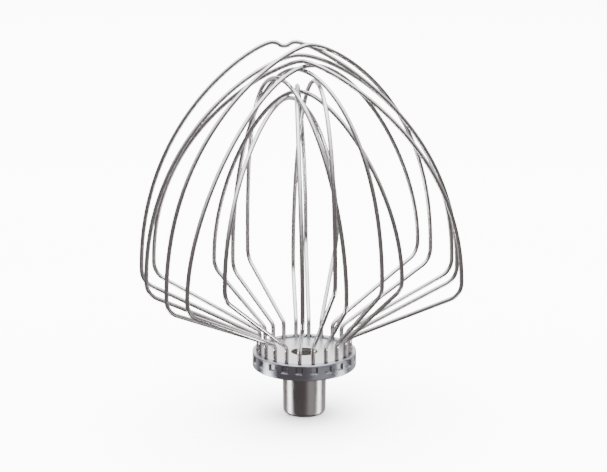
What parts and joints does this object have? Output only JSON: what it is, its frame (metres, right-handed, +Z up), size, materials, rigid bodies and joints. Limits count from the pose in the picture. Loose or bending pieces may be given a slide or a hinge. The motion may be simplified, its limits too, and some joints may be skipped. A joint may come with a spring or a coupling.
{
  "type": "stand mixer wire whip attachment",
  "caption": "Balloon-shaped wire whip for a stand mixer: nested wire loops held in a round crimped hub, with a drive sleeve below that slides onto the mixer's shaft.",
  "frame": {"origin": "on the drive axis at the foot of the drive sleeve, where the whip stands", "axes": "+Z up the drive axis to the crown of the wires, -Y towards the front"},
  "size_m": [0.155, 0.136, 0.1838],
  "materials": {
    "wire_steel": "polished drawn stainless wire",
    "ring_steel": "polished stainless steel",
    "disc_steel": "fine satin stainless steel",
    "sleeve_steel": "stainless steel brushed along its length",
    "bush_steel": "machined stainless steel",
    "core_alloy": "as cast, hidden inside the hub"
  },
  "bodies": {
    "root": {"crimp_ring": "ring_steel", "drive_bush": "bush_steel", "drive_sleeve": "sleeve_steel", "hub_core": "core_alloy", "hub_disc": "disc_steel", "wire_loop_01": "wire_steel", "wire_loop_02": "wire_steel", "wire_loop_03": "wire_steel", "wire_loop_04": "wire_steel", "wire_loop_05": "wire_steel", "wire_loop_06": "wire_steel", "wire_loop_07": "wire_steel", "wire_loop_08": "wire_steel", "wire_loop_09": "wire_steel", "wire_loop_10": "wire_steel", "wire_loop_11": "wire_steel"}
  },
  "joints": []
}
